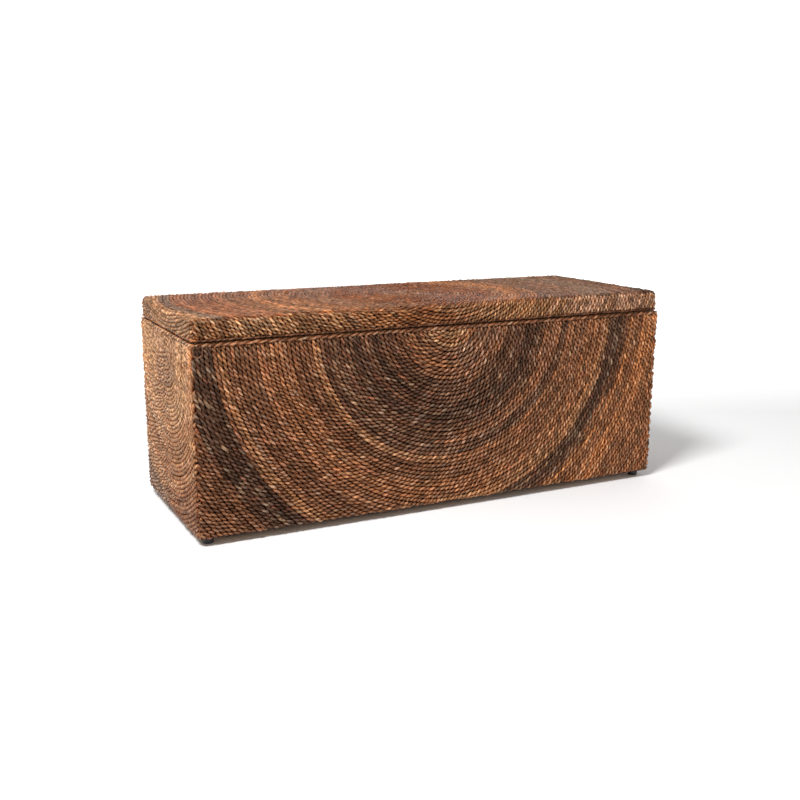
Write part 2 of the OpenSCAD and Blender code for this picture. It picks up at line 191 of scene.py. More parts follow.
LID_LEFT = [(0.060, "brown"), (0.200, "rust"), (0.290, "brown"), (0.355, "copper"),
            (0.380, "amber"), (0.450, "copper"), (0.560, "russet"), (0.590, "grey"),
            (0.760, "fawn")]
LID_RIGHT = [(0.060, "brown"), (0.212, "rust"), (0.235, "copper"), (0.275, "amber"),
             (0.310, "copper"), (0.430, "ash"), (0.500, "grey"), (0.545, "ash"),
             (0.580, "bark"), (0.760, "soot")]

# Bands along the lid's front and back skirts, as (distance from the middle where it ends, mix)
LID_SKIRT = [(-0.55, "honey"), (-0.50, "fawn"), (-0.42, "straw"), (-0.35, "gold"),
             (-0.26, "fawn"), (-0.20, "gold"), (-0.10, "honey"), (0.00, "copper"),
             (0.08, "fawn"), (0.30, "gold"), (0.60, "sand")]


def band_at(bands, radius):
    """The mix of the band that a radius, or a distance from the middle, falls in."""
    for end, mix in bands:
        if radius < end:
            return mix
    return bands[-1][1]


# ---------------------------------------------------------------- smooth noise along a rope


def smooth_noise(rng, length, spacing, s):
    """Random numbers from -1 to 1 every `spacing` along a rope, joined smoothly, at the places s."""
    count = max(2, int(length / spacing) + 3)
    knots = rng.uniform(-1, 1, count)
    x = s / spacing
    i = np.clip(x.astype(int), 0, count - 2)
    t = x - i
    t = t * t * (3 - 2 * t)
    return knots[i] * (1 - t) + knots[i + 1] * t


def changes(rng, length, amount, s):
    """Smooth noise of a given (strength, spacing)."""
    strength, spacing = amount
    return strength * smooth_noise(rng, length, spacing, s)


# ---------------------------------------------------------------- faces


class Face:
    """One woven face: a flat patch with a middle, two directions, half sizes and folded flaps.

    Points (u, v) past the patch's edge lie on a flap, which folds back along -normal. box is the
    closed box that the face is part of, and bend is the rounding of its edges.
    """

    def __init__(self, middle, across, upward, half_u, half_v, flaps, box, bend):
        self.middle = np.array(middle, float)
        self.across = np.array(across, float)
        self.upward = np.array(upward, float)
        self.normal = np.cross(self.across, self.upward)
        self.half_u = half_u
        self.half_v = half_v
        self.flaps = flaps  # left, right, bottom, top
        self.box = (np.array(box[0], float), np.array(box[1], float))
        self.bend = bend

    def inside(self, u, v):
        """Which of the points (u, v) lie on the face or one of its flaps."""
        left, right, bottom, top = self.flaps
        in_u = np.abs(u) <= self.half_u
        in_v = np.abs(v) <= self.half_v
        along_u = in_v & (u >= -self.half_u - left) & (u <= self.half_u + right)
        along_v = in_u & (v >= -self.half_v - bottom) & (v <= self.half_v + top)
        return along_u | along_v

    def place(self, u, v):
        """Points in space for (u, v), and the outward directions there."""
        cu = np.clip(u, -self.half_u, self.half_u)
        cv = np.clip(v, -self.half_v, self.half_v)
        over = np.abs(u - cu) + np.abs(v - cv)
        q = self.middle + np.outer(cu, self.across) + np.outer(cv, self.upward)
        q = q - np.outer(over, self.normal)
        core = np.clip(q, self.box[0] + self.bend, self.box[1] - self.bend)
        d = q - core
        n = d / np.maximum(np.linalg.norm(d, axis=1, keepdims=True), 1e-9)
        return core + n * self.bend, n


def coil_runs(face, centre, turns, pitch):
    """Stretches of one spiral that lie on the face, as lists of (u, v, radius) arrays."""
    fine = 0.0006
    first_r = 0.004
    grow = pitch / (2 * math.pi)
    quarter = math.pi / 2
    pieces = []
    for i in range(4 * turns):
        count = max(8, int((first_r + grow * i * quarter) * quarter / fine))
        pieces.append(i * quarter + np.linspace(0, quarter, count, endpoint=False))
    t = np.concatenate(pieces)
    r = first_r + grow * t
    u = centre[0] + r * np.cos(t)
    v = centre[1] + r * np.sin(t)
    on = face.inside(u, v)
    edges = np.flatnonzero(np.diff(np.concatenate([[0], on.astype(int), [0]])))
    return [(u[a:b], v[a:b], r[a:b]) for a, b in zip(edges[0::2], edges[1::2])]


# ---------------------------------------------------------------- rope meshes


class RopeMesh:
    """Collects strands as arrays and turns them into one closed mesh per piece."""

    def __init__(self):
        self.points = []
        self.tints_and_shade = []
        self.fibres = []
        self.quads = []
        self.caps = []
        self.count = 0
        self.rings = []

    def add_strand(self, middle, out, side, radius, tint, s, shift, lift, angle_out):
        """One strand: its middle line, two cross directions, its radius and its colour at each step.

        lift is how far its middle stands out from the rope's middle, and angle_out is the cosine and
        sine of its place round the rope. Painted shade darkens the parts that lie deep between the
        ropes, and a painted highlight, mixed with wear, pales the crests.
        """
        n = len(middle)
        k = STRAND_SIDES
        angle = np.arange(k) * 2 * math.pi / k
        ca = np.cos(angle)[None, :, None]
        sa = np.sin(angle)[None, :, None]
        spoke = ca * out[:, None, :] + sa * side[:, None, :]
        ring = middle[:, None, :] + radius[:, None, None] * spoke
        self.points.append(ring.reshape(-1, 3))
        height = lift[:, None] + radius[:, None] * (angle_out[0][:, None] * np.cos(angle)
                                                    - angle_out[1][:, None] * np.sin(angle))
        # painted shade: the colour darkens towards the crevices between the ropes, by how deep each
        # point lies
        open_to_light = np.clip((height / ROPE_R + CREVICE_DEPTH) / (1 + CREVICE_DEPTH), 0, 1)
        # painted highlight, partly wear: the colour pales towards the top of each strand
        worn_and_lit = np.clip((open_to_light - CREST_FROM) / (1 - CREST_FROM), 0, 1)[:, :, None]
        open_to_light = (open_to_light ** CREVICE_FADE)[:, :, None]
        shade = np.array(CREVICE_PAINTED_SHADE) * (1 - open_to_light) + open_to_light
        shade = shade * (1 - worn_and_lit) + np.array(CREST_WEAR_AND_HIGHLIGHT) * worn_and_lit
        self.tints_and_shade.append((tint[:, None, :] * shade).reshape(-1, 3))
        fibre = np.empty((n, k, 3))
        fibre[:, :, 0] = (s + shift)[:, None]
        fibre[:, :, 1] = STRAND_R * np.cos(angle)
        fibre[:, :, 2] = STRAND_R * np.sin(angle)
        self.fibres.append(fibre.reshape(-1, 3))
        i = np.arange(n - 1)[:, None] * k
        j = np.arange(k)[None, :]
        j2 = (j + 1) % k
        quad = np.stack([i + j, i + k + j, i + k + j2, i + j2], axis=-1).reshape(-1, 4)
        self.quads.append(quad + self.count)
        self.rings.append(np.repeat(self.count // k + np.arange(n - 1), k))
        self.caps.append(self.count + np.arange(k))
        self.caps.append(self.count + (n - 1) * k + np.arange(k)[::-1])
        self.count += n * k

    def triangles(self):
        """How many triangles the piece has so far."""
        return 2 * sum(len(q) for q in self.quads) + len(self.caps) * (STRAND_SIDES - 2)

    def build(self, name):
        """Makes the piece, with its colours and fibre places on its points."""
        points = np.concatenate(self.points).astype(np.float32)
        quads = np.concatenate(self.quads)
        caps = np.array(self.caps)
        loops = np.concatenate([quads.ravel(), caps.ravel()]).astype(np.int32)
        starts = np.concatenate([np.arange(len(quads)) * 4,
                                 len(quads) * 4 + np.arange(len(caps)) * STRAND_SIDES])
        me = bpy.data.meshes.new(name)
        me.vertices.add(len(points))
        me.vertices.foreach_set("co", points.ravel())
        me.loops.add(len(loops))
        me.loops.foreach_set("vertex_index", loops)
        me.polygons.add(len(starts))
        me.polygons.foreach_set("loop_start", starts.astype(np.int32))
        me.update(calc_edges=True)
        me.validate()
        me.polygons.foreach_set("use_smooth", np.ones(len(starts), bool))
        self.unroll(me, len(points) // STRAND_SIDES)
        tint = me.attributes.new("rope_tint_and_shade", "FLOAT_COLOR", "POINT")
        rgba = np.ones((len(points), 4), np.float32)
        rgba[:, :3] = np.concatenate(self.tints_and_shade)
        tint.data.foreach_set("color", rgba.ravel())
        fibre = me.attributes.new("fibre_place", "FLOAT_VECTOR", "POINT")
        fibre.data.foreach_set("vector", np.concatenate(self.fibres).astype(np.float32).ravel())
        ob = bpy.data.objects.new(name, me)
        bpy.context.scene.collection.objects.link(ob)
        return ob

    def unroll(self, me, ring_count):
        """A surface map in which the strands lie unrolled, one after another, in lines."""
        k = STRAND_SIDES
        line_length = int(math.ceil(math.sqrt(ring_count * (k + 1))))
        line_count = int(math.ceil(ring_count / line_length))
        ring = np.concatenate(self.rings)
        side = np.tile(np.arange(k), len(ring) // k)
        column = ring % line_length
        line = ring // line_length
        corners = [(0, 0), (1, 0), (1, 1), (0, 1)]
        quad_map = np.empty((len(ring), 4, 2))
        for i, (along, across) in enumerate(corners):
            quad_map[:, i, 0] = (column + along) / line_length
            quad_map[:, i, 1] = (line * (k + 1) + side + across) / (line_count * (k + 1))
        cap_ring = np.array([cap[0] // k for cap in self.caps])
        cap_map = np.empty((len(cap_ring), k, 2))
        turn = np.arange(k) * 2 * math.pi / k
        cap_map[:, :, 0] = (cap_ring % line_length)[:, None] + 0.5 + 0.3 * np.cos(turn)
        cap_map[:, :, 1] = (cap_ring // line_length)[:, None] * (k + 1) + k + 0.5 + 0.3 * np.sin(turn)
        cap_map[:, :, 0] /= line_length
        cap_map[:, :, 1] /= line_count * (k + 1)
        layer = me.uv_layers.new(name="OFBake")
        both = np.concatenate([quad_map.reshape(-1), cap_map.reshape(-1)]).astype(np.float32)
        layer.uv.foreach_set("vector", both)


def grain_colours(rng, tone, count):
    """Colours for the grains of one strand: the tone, some pale, dark or reddish fibre, all varied."""
    base, pale, dark = TONES[tone]
    colours = np.tile(np.array(base), (count, 1))
    roll = rng.uniform(0, 1, count)
    share = rng.uniform(*FIBRE_SHARE, count)[:, None]
    for low, high, fibre in ((0, pale, PALE_FIBRE), (pale, pale + dark, DARK_FIBRE),
                             (pale + dark, pale + dark + RED_SHARE, RED_FIBRE)):
        chosen = ((roll >= low) & (roll < high))[:, None]
        colours = np.where(chosen, colours * (1 - share) + np.array(fibre) * share, colours)
    warmth = rng.normal(0, 0.06, count)
    colours = colours * np.stack([1 + 0.5 * warmth, np.ones(count), 1 - 1.2 * warmth], axis=1)
    return colours


def strand_tint(rng, tones, turn, s, length, spread):
    """A strand's colour at each step: a spun yarn keeps its colour for a while, each grain differs."""
    grain = np.round(turn).astype(int)
    grain = grain - grain.min()
    count = grain.max() + 1
    yarn_steps = rng.integers(*YARN_GRAINS, count)
    tint = np.empty((len(s), 3))
    for tone in sorted(set(tones)):
        held = np.repeat(np.arange(count), yarn_steps)[:count]
        yarn = grain_colours(rng, tone, count)[held]
        colours = YARN_SHARE * yarn + (1 - YARN_SHARE) * grain_colours(rng, tone, count)
        here = np.array([m == tone for m in tones])
        tint[here] = colours[grain[here]]
    light = np.exp(np.minimum(rng.normal(0, spread, count), LIGHTEST_GRAIN * spread))
    long_light = 1 + changes(rng, length, LONG_SPREAD, s)
    return tint * (light[grain] * long_light)[:, None]


def resample(p, n, extra, step):
    """Evenly spaced points, directions and extra columns along a polyline."""
    seg = np.linalg.norm(np.diff(p, axis=0), axis=1)
    s = np.concatenate([[0], np.cumsum(seg)])
    count = max(4, int(round(s[-1] / step)) + 1)
    t = np.linspace(0, s[-1], count)

    def along(a):
        return np.stack([np.interp(t, s, a[:, i]) for i in range(a.shape[1])], axis=1)

    return along(p), along(n), along(extra), t


def unit(a):
    """Rows of vectors, each made one long."""
    return a / np.maximum(np.linalg.norm(a, axis=1, keepdims=True), 1e-9)


def lay_rope(mesh, rng, p, n, s, tones, strand_r, swing, turn, tuck=True, wobble=0.0008,
             dye_and_shade=(1, 1, 1), spread=GRAIN_SPREAD):
    """Twists two strands round the middle line p, whose outward directions are n."""
    length = s[-1]
    tangent = unit(np.gradient(p, axis=0))
    side = unit(np.cross(tangent, n))
    out = unit(np.cross(side, tangent))
    p = p + side * (wobble * smooth_noise(rng, length, SIDE_WANDER, s))[:, None]
    p = p + out * (wobble * smooth_noise(rng, length, LIFT_WANDER, s))[:, None]
    thin = 1.0
    if tuck:
        ends = np.minimum(s, length - s)
        t = np.clip(1 - ends / TUCK_LENGTH, 0, 1)
        bend = 1 - np.sqrt(1 - t * t)
        p = p - out * (TUCK_DEPTH * bend)[:, None]
        thin = 1 - TUCK_THIN * bend
    swell = thin * (1 + changes(rng, length, ROPE_SWELL, s))
    turn = turn * rng.uniform(*TURN_RANGE)
    rate = 1 + changes(rng, length, TWIST_DRIFT, s) + changes(rng, length, TWIST_JITTER, s)
    thick = rng.uniform(*STRAND_RANGE)
    step = np.diff(s, prepend=s[0])
    phase = rng.uniform(0, 1) + np.cumsum(step * rate) / turn
    for strand in (0, 1):
        turns = phase + strand / 2
        angle = -2 * math.pi * turns
        c = np.cos(angle)[:, None]
        d = np.sin(angle)[:, None]
        own = swell * (thick, 2 - thick)[strand] * (1 + changes(rng, length, STRAND_SWELL, s))
        own = own * (STRAND_BASE + GRAIN_SWELL * c[:, 0])
        middle = p + swing[0] * c * out + swing[1] * d * side
        tint = strand_tint(rng, tones, turns, s, length, spread) * np.array(dye_and_shade)
        flat = c * out + d * side
        cross = c * side - d * out
        mesh.add_strand(middle, flat, cross, strand_r * own, tint, s, rng.uniform(0, 40),
                        swing[0] * c[:, 0], (c[:, 0], d[:, 0]))


def radial_tone(bands):
    """Tone by distance from the coil's centre, with one table for each half of the face."""
    left, right = bands

    def tone(face, u, r, blur, fuzz):
        return band_at(left if u + blur < 0 else right, r + fuzz)

    return tone


LID_END_FROM = 0.004  # how far over the lid's edge its end skirts' own tones begin
LID_END_FUZZ = 0.1  # how much of a row's blur moves that line


def lid_tone(face, u, r, blur, fuzz):
    """The lid's tones: by distance from the middle, but its two end skirts keep their own."""
    if u < -face.half_u - LID_END_FROM + LID_END_FUZZ * blur:
        return "straw"
    if u > face.half_u + LID_END_FROM + LID_END_FUZZ * blur:
        return "gold"
    if r * r - u * u > face.half_v ** 2:
        return band_at(LID_SKIRT, u + blur)
    return band_at(LID_LEFT if u + blur < 0 else LID_RIGHT, r + fuzz)


def weave(name, face, centre, turns, tone_at, body, node, seed, dye_and_shade=(1, 1, 1),
          spread=GRAIN_SPREAD, row_spread=ROW_SPREAD, fine=1.0, ring_step=RING_STEP):
    """Lays a coil of rope over a face and makes its pieces, each small enough to export whole.

    fine is the thickness of this face's rope, as a share of the usual rope.
    """
    meshes = [RopeMesh()]
    runs = coil_runs(face, centre, turns, ROW_PITCH * fine)
    swing = (STRAND_OUT * fine, STRAND_ASIDE * fine)
    for i, (u, v, r) in enumerate(runs):
        p, n = face.place(u, v)
        extra = np.stack([u, r], axis=1)
        p, n, extra, s = resample(p, n, extra, ring_step)
        if s[-1] < SHORTEST_RUN:
            continue
        rng = np.random.default_rng([seed, i])
        blur = changes(rng, s[-1], BAND_BLUR, s)
        fuzz = changes(rng, s[-1], BAND_FUZZ, s)
        tones = [tone_at(face, u_, r_, b, f) for (u_, r_), b, f in zip(extra, blur, fuzz)]
        if meshes[-1].triangles() + 4 * len(s) * STRAND_SIDES > MAX_PIECE_TRIS:
            meshes.append(RopeMesh())
        # each row's random lightness, times the lid's painted shade where one is given
        row_tone_and_shade = np.array(dye_and_shade) * math.exp(rng.normal(0, row_spread))
        lay_rope(meshes[-1], rng, p, unit(n), s, tones, STRAND_R * fine, swing, TWIST_PITCH * fine,
                 dye_and_shade=row_tone_and_shade, spread=spread)
    for k, mesh in enumerate(meshes):
        ob = mesh.build(f"{name}_{k + 1}")
        ob.data.materials.append(rope_material)
        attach(ob, body)
    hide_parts(node)


# ---------------------------------------------------------------- materials


def new_material(name):
    """A material with its nodes and its shader."""
    mat = bpy.data.materials.new(name)
    mat.use_nodes = True
    nt = mat.node_tree
    shader = next(x for x in nt.nodes if x.type == "BSDF_PRINCIPLED")
    return mat, nt, shader


def add(nt, kind, **values):
    node = nt.nodes.new(kind)
    for key, value in values.items():
        setattr(node, key, value)
    return node


def noise(nt, vector, scale, detail=3.0, rough=0.55):
    """Soft noise at the given places."""
    node = add(nt, "ShaderNodeTexNoise")
    node.inputs["Scale"].default_value = scale
    node.inputs["Detail"].default_value = detail
    node.inputs["Roughness"].default_value = rough
    nt.links.new(vector, node.inputs["Vector"])
    return node.outputs["Fac"]


def stretched(nt, vector, scale):
    """Places scaled by axis, so that noise there is long and thin."""
    node = add(nt, "ShaderNodeMapping")
    node.inputs["Scale"].default_value = scale
    nt.links.new(vector, node.inputs["Vector"])
    return node.outputs["Vector"]


def remap(nt, value, low, high, to_low, to_high):
    """A number spread from one range over another."""
    node = add(nt, "ShaderNodeMapRange")
    for key, number in (("From Min", low), ("From Max", high), ("To Min", to_low), ("To Max", to_high)):
        node.inputs[key].default_value = number
    nt.links.new(value, node.inputs["Value"])
    return node.outputs["Result"]


def bump(nt, shader, height, strength, distance):
    """Fine relief on a shader."""
    node = add(nt, "ShaderNodeBump")
    node.inputs["Strength"].default_value = strength
    node.inputs["Distance"].default_value = distance
    nt.links.new(height, node.inputs["Height"])
    nt.links.new(node.outputs["Normal"], shader.inputs["Normal"])


def scaled(nt, colour, factor):
    """A colour multiplied by a changing number."""
    node = add(nt, "ShaderNodeVectorMath", operation="SCALE")
    nt.links.new(colour, node.inputs[0])
    nt.links.new(factor, node.inputs["Scale"])
    return node.outputs["Vector"]


def times(nt, colour, other):
    """Two changing colours multiplied."""
    node = add(nt, "ShaderNodeVectorMath", operation="MULTIPLY")
    nt.links.new(colour, node.inputs[0])
    nt.links.new(other, node.inputs[1])
    return node.outputs["Vector"]


def ramp(nt, value, stops):
    """Colours by a number, from (place, colour) stops."""
    node = add(nt, "ShaderNodeValToRGB")
    elements = node.color_ramp.elements
    while len(elements) < len(stops):
        elements.new(0.5)
    for element, (place, colour) in zip(elements, stops):
        element.position = place
        element.color = (*colour, 1)
    nt.links.new(value, node.inputs["Fac"])
    return node.outputs["Color"]


def make_rope_material():
    """Dry plant fibre: the strand's colour with painted shade and highlight, fine fibres along it, dull
    with a faint sheen.
    """
    mat, nt, shader = new_material("rope_fibre")
    tint = add(nt, "ShaderNodeAttribute", attribute_name="rope_tint_and_shade")
    place = add(nt, "ShaderNodeAttribute", attribute_name="fibre_place")
    fibres = noise(nt, stretched(nt, place.outputs["Vector"], FIBRE_GRAIN), 1.0, 4.0, 0.6)
    patches = noise(nt, stretched(nt, place.outputs["Vector"], PATCH_GRAIN), 1.0, 2.0)
    streaks = noise(nt, stretched(nt, place.outputs["Vector"], STREAK_GRAIN), 1.0, 2.0)
    light = remap(nt, fibres, 0.3, 0.7, 0.66, 1.36)
    stain = remap(nt, patches, 0.3, 0.7, 0.85, 1.15)
    streak = ramp(nt, streaks, [(0.38, BARE_STREAK), (0.62, WORN_STREAK)])
    colour = scaled(nt, scaled(nt, tint.outputs["Color"], light), stain)
    colour = times(nt, colour, streak)
    nt.links.new(colour, shader.inputs["Base Color"])
    nt.links.new(remap(nt, fibres, 0.3, 0.7, 0.56, 0.34), shader.inputs["Roughness"])
    shader.inputs["Specular IOR Level"].default_value = 0.3
    shader.inputs["Specular Tint"].default_value = (*FIBRE_SHEEN, 1)
    bump(nt, shader, fibres, 0.6, 0.0007)
    return mat


def make_backing_material():
    """A dark backing between the rope and its board: partly glue, partly painted shade in the gaps
    between the ropes.
    """
    mat, nt, shader = new_material("painted_shade_backing")
    place = add(nt, "ShaderNodeTexCoord")
    grain = noise(nt, place.outputs["Object"], 900.0, 3.0)
    nt.links.new(ramp(nt, grain, [(0.3, linear(42, 22, 12)), (0.7, linear(62, 34, 19))]),
                 shader.inputs["Base Color"])
    shader.inputs["Roughness"].default_value = 0.95
    bump(nt, shader, grain, 0.4, 0.0005)
    return mat


def make_wood_material(name, dark, light, along, fine=220.0, rough=0.6):
    """Wood with grain along one axis: 0 for X, 1 for Y, 2 for Z."""
    mat, nt, shader = new_material(name)
    place = add(nt, "ShaderNodeTexCoord")
    scale = [1.0, 1.0, 1.0]
    scale[along] = 0.06
    grain_at = stretched(nt, place.outputs["Object"], tuple(scale))
    broad = noise(nt, grain_at, fine / 6, 4.0, 0.6)
    pores = noise(nt, grain_at, fine * 4, 2.0, 0.5)
    base = ramp(nt, broad, [(0.32, dark), (0.5, tuple((a + b) / 2 for a, b in zip(dark, light))),
                            (0.68, light)])
    nt.links.new(scaled(nt, base, remap(nt, pores, 0.3, 0.7, 0.86, 1.1)), shader.inputs["Base Color"])
    nt.links.new(remap(nt, pores, 0.3, 0.7, rough + 0.1, rough - 0.1), shader.inputs["Roughness"])
    bump(nt, shader, pores, 0.25, 0.0004)
    return mat


def make_steel_material():
    """Bright zinc plating with faint drawn lines and a few dull patches."""
    mat, nt, shader = new_material("zinc_plate")
    place = add(nt, "ShaderNodeTexCoord")
    lines = noise(nt, stretched(nt, place.outputs["Object"], (1.0, 0.05, 1.0)), 2600.0, 2.0)
    dull = noise(nt, place.outputs["Object"], 90.0, 3.0)
    nt.links.new(ramp(nt, dull, [(0.35, linear(150, 150, 146)), (0.65, linear(198, 198, 194))]),
                 shader.inputs["Base Color"])
    shader.inputs["Metallic"].default_value = 1.0
    nt.links.new(remap(nt, dull, 0.3, 0.7, 0.42, 0.24), shader.inputs["Roughness"])
    bump(nt, shader, lines, 0.12, 0.0002)
    return mat


def make_plastic_material(name, colour, rough, grain_scale):
    """Moulded black plastic or rubber with a fine grain and dusty patches."""
    mat, nt, shader = new_material(name)
    place = add(nt, "ShaderNodeTexCoord")
    grain = noise(nt, place.outputs["Object"], grain_scale, 2.0)
    dust = noise(nt, place.outputs["Object"], 60.0, 3.0)
    lighter = tuple(c * 1.8 + 0.004 for c in colour)
    nt.links.new(ramp(nt, dust, [(0.4, colour), (0.75, lighter)]), shader.inputs["Base Color"])
    nt.links.new(remap(nt, dust, 0.3, 0.7, rough - 0.08, rough + 0.1), shader.inputs["Roughness"])
    bump(nt, shader, grain, 0.2, 0.0003)
    return mat


rope_material = make_rope_material()
backing_shade_material = make_backing_material()
WOOD_DARK = linear(150, 108, 68)
WOOD_LIGHT = linear(205, 165, 115)
PLY_DARK = linear(140, 98, 62)
PLY_LIGHT = linear(190, 148, 100)
# Dark stain for the wood round the seam: partly its finish, partly painted shade that keeps the seam
# dark.
STAIN_AND_SHADE_DARK = linear(58, 38, 27)
STAIN_AND_SHADE_LIGHT = linear(88, 60, 42)
timber = [make_wood_material(f"timber_along_{axis}", WOOD_DARK, WOOD_LIGHT, i)
          for i, axis in enumerate("xyz")]
plywood = [make_wood_material(f"plywood_along_{axis}", PLY_DARK, PLY_LIGHT, i, 160.0)
           for i, axis in enumerate("xy")]
stain_and_shade = [make_wood_material(f"stain_and_seam_shade_along_{axis}", STAIN_AND_SHADE_DARK, STAIN_AND_SHADE_LIGHT, i, 160.0, 0.7)
           for i, axis in enumerate("xy")]
zinc = make_steel_material()
glide_black = make_plastic_material("glide_black", linear(16, 16, 17), 0.42, 3000.0)
bumper_black = make_plastic_material("bumper_black", linear(24, 24, 24), 0.75, 1800.0)


def cad_material(node):
    """The finish of each CAD node that stays in sight."""
    runs_back = node.endswith(("left", "right", "middle"))
    # The rails and the lid's lining are dark: partly a stain, partly painted shade in the seam between
    # lid and base.
    if node.startswith(("top_rail", "lid_rail")):
        return stain_and_shade[1 if runs_back else 0]
    if node == "lid_lining":
        return stain_and_shade[0]
    if node.startswith("corner_post"):
        return timber[2]
    if node.startswith("bottom_rail"):
        return timber[1 if runs_back else 0]
    if node.startswith("wall_board"):
        return plywood[1 if runs_back else 0]
    if node in ("floor_board", "lid_board"):
        return plywood[0]
    if node.startswith("glide_") and node != "glide_nails":
        return glide_black
    if node == "lid_bumpers":
        return bumper_black
    return zinc


WOVEN_NODES = ("weave_front", "weave_back", "weave_left", "weave_right", "rim_rope", "lid_weave")
for node_name, node_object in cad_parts.items():
    finish = backing_shade_material if node_name in WOVEN_NODES else cad_material(node_name)
    if not node_object.material_slots:
        node_object.data.materials.append(finish)
    for material_slot in node_object.material_slots:
        material_slot.material = finish

# ---------------------------------------------------------------- woven faces

BASE_BOX = ((-OUT_X + ROPE_R, OUT_FRONT + ROPE_R, WEAVE_Z + ROPE_R),
            (OUT_X - ROPE_R, OUT_BACK - ROPE_R, RIM_Z + UNDER_RIM))
LID_BOX = ((lid_lo.x + ROPE_R - LID_WIDER, lid_lo.y + ROPE_R, lid_lo.z - LID_ROUND),
           (lid_hi.x - ROPE_R + LID_WIDER, lid_hi.y - ROPE_R, lid_hi.z - ROPE_R))
base_mid = (np.array(BASE_BOX[0]) + np.array(BASE_BOX[1])) / 2
base_half = (np.array(BASE_BOX[1]) - np.array(BASE_BOX[0])) / 2
lid_mid = (np.array(LID_BOX[0]) + np.array(LID_BOX[1])) / 2
lid_half = (np.array(LID_BOX[1]) - np.array(LID_BOX[0])) / 2
SKIRT = LID_BOX[1][2] - lid_lo.z + UNDER_LID_TRIM


def base_face(direction):
    """One side of the base: front, back, left or right."""
    normal = {"front": (0, -1, 0), "back": (0, 1, 0), "left": (-1, 0, 0), "right": (1, 0, 0)}[direction]
    across = np.cross((0, 0, 1), normal)
    middle = base_mid + np.array(normal) * base_half
    half_u = base_half[0] if direction in ("front", "back") else base_half[1]
    return Face(middle, across, (0, 0, 1), half_u, base_half[2], (0, 0, UNDER_FLAP, 0), BASE_BOX,
                BASE_ROUND)


# Where the coils' centres are: above the rope's top edge on the long sides, below it on the ends
CENTRE_ABOVE_RIM = 0.026
END_CENTRE_BELOW_RIM = 0.024
front_centre = (0.0, base_half[2] + CENTRE_ABOVE_RIM)
end_centre = (0.0, base_half[2] - END_CENTRE_BELOW_RIM)
LONG_TURNS = 82
END_TURNS = 52
LID_TURNS = 88
LID_FINE = 0.87  # the lid's rope is a little thinner
LID_RING_STEP = 0.0034
LID_PAINTED_SHADE = (0.79, 0.75, 0.70)  # painted shade: the lid's whole rope is darkened to offset the strong light on its top

weave("front_rope", base_face("front"), front_centre, LONG_TURNS,
      radial_tone((FRONT_LEFT, FRONT_RIGHT)), "base", "weave_front", 11)
weave("back_rope", base_face("back"), front_centre, LONG_TURNS,
      radial_tone((BACK_LEFT, BACK_RIGHT)), "base", "weave_back", 12)
weave("left_rope", base_face("left"), end_centre, END_TURNS,
      radial_tone((END_BACKWARD, END_FORWARD)), "base", "weave_left", 13,
      spread=END_GRAIN_SPREAD)
weave("right_rope", base_face("right"), end_centre, END_TURNS,
      radial_tone((END_FORWARD, END_BACKWARD)), "base", "weave_right", 14,
      spread=END_GRAIN_SPREAD)

lid_face = Face((lid_mid[0], lid_mid[1], LID_BOX[1][2]), (1, 0, 0), (0, 1, 0), lid_half[0],
                lid_half[1], (SKIRT, SKIRT, SKIRT, SKIRT), LID_BOX, LID_ROUND)
weave("lid_rope", lid_face, (0.0, 0.0), LID_TURNS, lid_tone, "lid", "lid_weave",
      15, dye_and_shade=LID_PAINTED_SHADE, row_spread=LID_ROW_SPREAD,
      fine=LID_FINE, ring_step=LID_RING_STEP)

# ---------------------------------------------------------------- trims and backings


def ring_path(lo_x, hi_x, lo_y, hi_y, z, bend):
    """A closed rounded rectangle at height z, from the middle of its back, with outward directions."""
    fine = 0.001
    points = []
    normals = []
    quarter = np.arange(0, math.pi / 2, fine / bend)
    corners = [(lo_x + bend, hi_y - bend, math.pi / 2), (lo_x + bend, lo_y + bend, math.pi),
               (hi_x - bend, lo_y + bend, 1.5 * math.pi), (hi_x - bend, hi_y - bend, 2 * math.pi)]
    for cx, cy, start in corners:
        a = start + quarter
        points.append(np.stack([cx + bend * np.cos(a), cy + bend * np.sin(a)], axis=1))
        normals.append(np.stack([np.cos(a), np.sin(a)], axis=1))
    p = np.concatenate(points)
    n = np.concatenate(normals)
    p = np.concatenate([[[0, hi_y]], p, [[0, hi_y]]])
    n = np.concatenate([[[0, 1]], n, [[0, 1]]])
    p = np.column_stack([p, np.full(len(p), z)])
    n = np.column_stack([n, np.zeros(len(n))])
    return p, n


def trim(name, lo, hi, z, bend, body, node, seed, tone_at, strand_r, swing, turn):
    """A twisted rope that runs once round the trunk."""
    p, n = ring_path(lo[0], hi[0], lo[1], hi[1], z, bend)
    p, n, extra, s = resample(p, n, p[:, :1], RING_STEP)
    rng = np.random.default_rng(seed)
    mesh = RopeMesh()
    tones = [tone_at(x) for x in extra[:, 0]]
    lay_rope(mesh, rng, p, unit(n), s, tones, strand_r, swing, turn, tuck=False, wobble=TRIM_WOBBLE)
    ob = mesh.build(name)
    ob.data.materials.append(rope_material)
    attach(ob, body)
    if node:
        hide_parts(node)


RIM_END_STRIP = 0.012  # how far round the corners the ends' paler trim reaches
LID_END_STRIP = 0.016
RIM_BROWN_TO = -0.45


def rim_tone(x):
    """The rim trim's tone: pale on the two ends, and a lighter brown near the left one."""
    if abs(x) > OUT_X - RIM_END_STRIP:
        return "gold"
    if x < RIM_BROWN_TO:
        return "brown"
    return "bark"


def lid_trim_tone(x):
    """The lid trim's tone: dark umber along the seam as a painted shade there, but paler on the two
    ends.
    """
    if abs(x) > OUT_X - LID_END_STRIP:
        return "honey"
    return "umber"


